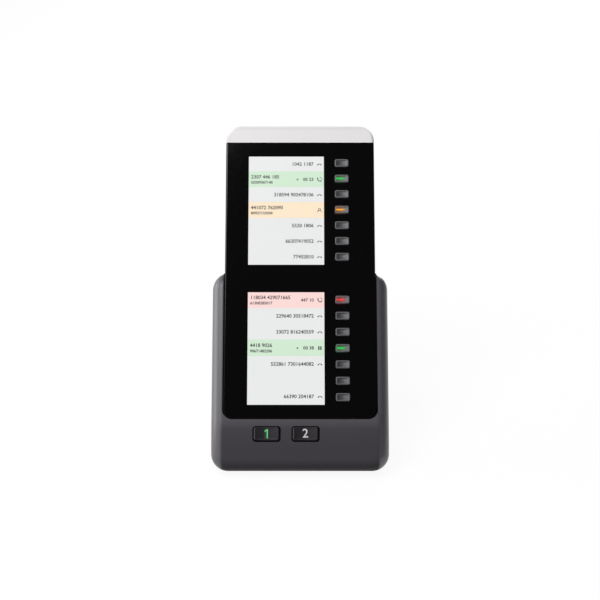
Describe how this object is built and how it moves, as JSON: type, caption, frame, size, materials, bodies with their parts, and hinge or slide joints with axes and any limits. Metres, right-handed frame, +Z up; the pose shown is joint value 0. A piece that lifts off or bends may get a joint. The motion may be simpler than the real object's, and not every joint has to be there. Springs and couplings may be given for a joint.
{
  "type": "desk phone expansion module",
  "caption": "Key module that stands beside a desk phone: black display panel with line keys, charcoal shell with page keys, grey top cap and clip-on stand.",
  "frame": {"origin": "on the desk, under the middle of the module's width and depth", "axes": "+Z up from the desk, +X to the right across the front, -Y towards the user; the face leans back 50 degrees from the desk"},
  "size_m": [0.112, 0.1555, 0.1838],
  "materials": {
    "shell_plastic": "fine satin moulded plastic",
    "cover_plastic": "finely textured moulded plastic",
    "cap_plastic": "smooth light grey moulded plastic",
    "frame_plastic": "black moulded plastic",
    "adhesive": "black adhesive sheet",
    "lens_black": "polished lens, printed black on its back",
    "foam": "closed foam",
    "display_face": "lit display glass",
    "flex_film": "amber film",
    "chassis_steel": "plated sheet steel",
    "board_green": "green solder mask",
    "connector_plastic": "cream plastic",
    "chip_black": "moulded black resin",
    "silicone": "translucent silicone",
    "lamp_plastic": "clear lamp resin",
    "line_key_plastic": "satin grey plastic",
    "page_key_plastic": "satin charcoal plastic",
    "port_plastic": "black plastic",
    "ribbon_grey": "grey ribbon cable",
    "brass": "knurled brass",
    "rubber_black": "black rubber",
    "screw_steel": "plated steel"
  },
  "bodies": {
    "module": {"front_shell": "shell_plastic", "rear_cover": "cover_plastic", "head_cover": "cover_plastic", "top_cap": "cap_plastic", "panel_frame": "frame_plastic", "lens_tape": "adhesive", "front_lens": "lens_black", "gasket_upper": "foam", "gasket_lower": "foam", "display_upper": "display_face", "display_lower": "display_face", "display_flex_upper": "flex_film", "display_flex_lower": "flex_film", "display_chassis": "chassis_steel", "main_board": "board_green", "board_connectors": "connector_plastic", "board_chips": "chip_black", "line_key_mat": "silicone", "line_key_lamps": "lamp_plastic", "page_key_mat": "silicone", "page_key_lamps": "lamp_plastic", "page_board": "board_green", "page_flex": "flex_film", "port_board": "board_green", "port_left": "port_plastic", "port_right": "port_plastic", "port_cover": "cover_plastic", "port_ribbon": "ribbon_grey", "link_inserts": "brass", "stand": "cover_plastic", "stand_pads": "rubber_black", "front_feet": "rubber_black", "case_screws": "screw_steel", "board_screws": "screw_steel", "port_screws": "screw_steel"},
    "line_key_01": {"line_key_01": "line_key_plastic"},
    "line_key_02": {"line_key_02": "line_key_plastic"},
    "line_key_03": {"line_key_03": "line_key_plastic"},
    "line_key_04": {"line_key_04": "line_key_plastic"},
    "line_key_05": {"line_key_05": "line_key_plastic"},
    "line_key_06": {"line_key_06": "line_key_plastic"},
    "line_key_07": {"line_key_07": "line_key_plastic"},
    "line_key_08": {"line_key_08": "line_key_plastic"},
    "line_key_09": {"line_key_09": "line_key_plastic"},
    "line_key_10": {"line_key_10": "line_key_plastic"},
    "line_key_11": {"line_key_11": "line_key_plastic"},
    "line_key_12": {"line_key_12": "line_key_plastic"},
    "line_key_13": {"line_key_13": "line_key_plastic"},
    "line_key_14": {"line_key_14": "line_key_plastic"},
    "page_key_1": {"page_key_1": "page_key_plastic"},
    "page_key_2": {"page_key_2": "page_key_plastic"}
  },
  "joints": [
    {"name": "line_key_01_press", "type": "slide", "parent": "module", "child": "line_key_01", "axis": [0, 0.766, -0.6428], "range_m": [0, 0.001], "stiffness_N_per_m": 450, "deforming": ["line_key_mat"]},
    {"name": "line_key_02_press", "type": "slide", "parent": "module", "child": "line_key_02", "axis": [0, 0.766, -0.6428], "range_m": [0, 0.001], "stiffness_N_per_m": 450, "deforming": ["line_key_mat"]},
    {"name": "line_key_03_press", "type": "slide", "parent": "module", "child": "line_key_03", "axis": [0, 0.766, -0.6428], "range_m": [0, 0.001], "stiffness_N_per_m": 450, "deforming": ["line_key_mat"]},
    {"name": "line_key_04_press", "type": "slide", "parent": "module", "child": "line_key_04", "axis": [0, 0.766, -0.6428], "range_m": [0, 0.001], "stiffness_N_per_m": 450, "deforming": ["line_key_mat"]},
    {"name": "line_key_05_press", "type": "slide", "parent": "module", "child": "line_key_05", "axis": [0, 0.766, -0.6428], "range_m": [0, 0.001], "stiffness_N_per_m": 450, "deforming": ["line_key_mat"]},
    {"name": "line_key_06_press", "type": "slide", "parent": "module", "child": "line_key_06", "axis": [0, 0.766, -0.6428], "range_m": [0, 0.001], "stiffness_N_per_m": 450, "deforming": ["line_key_mat"]},
    {"name": "line_key_07_press", "type": "slide", "parent": "module", "child": "line_key_07", "axis": [0, 0.766, -0.6428], "range_m": [0, 0.001], "stiffness_N_per_m": 450, "deforming": ["line_key_mat"]},
    {"name": "line_key_08_press", "type": "slide", "parent": "module", "child": "line_key_08", "axis": [0, 0.766, -0.6428], "range_m": [0, 0.001], "stiffness_N_per_m": 450, "deforming": ["line_key_mat"]},
    {"name": "line_key_09_press", "type": "slide", "parent": "module", "child": "line_key_09", "axis": [0, 0.766, -0.6428], "range_m": [0, 0.001], "stiffness_N_per_m": 450, "deforming": ["line_key_mat"]},
    {"name": "line_key_10_press", "type": "slide", "parent": "module", "child": "line_key_10", "axis": [0, 0.766, -0.6428], "range_m": [0, 0.001], "stiffness_N_per_m": 450, "deforming": ["line_key_mat"]},
    {"name": "line_key_11_press", "type": "slide", "parent": "module", "child": "line_key_11", "axis": [0, 0.766, -0.6428], "range_m": [0, 0.001], "stiffness_N_per_m": 450, "deforming": ["line_key_mat"]},
    {"name": "line_key_12_press", "type": "slide", "parent": "module", "child": "line_key_12", "axis": [0, 0.766, -0.6428], "range_m": [0, 0.001], "stiffness_N_per_m": 450, "deforming": ["line_key_mat"]},
    {"name": "line_key_13_press", "type": "slide", "parent": "module", "child": "line_key_13", "axis": [0, 0.766, -0.6428], "range_m": [0, 0.001], "stiffness_N_per_m": 450, "deforming": ["line_key_mat"]},
    {"name": "line_key_14_press", "type": "slide", "parent": "module", "child": "line_key_14", "axis": [0, 0.766, -0.6428], "range_m": [0, 0.001], "stiffness_N_per_m": 450, "deforming": ["line_key_mat"]},
    {"name": "page_key_1_press", "type": "slide", "parent": "module", "child": "page_key_1", "axis": [0, 0.766, -0.6428], "range_m": [0, 0.001], "stiffness_N_per_m": 450, "deforming": ["page_key_mat"]},
    {"name": "page_key_2_press", "type": "slide", "parent": "module", "child": "page_key_2", "axis": [0, 0.766, -0.6428], "range_m": [0, 0.001], "stiffness_N_per_m": 450, "deforming": ["page_key_mat"]}
  ]
}
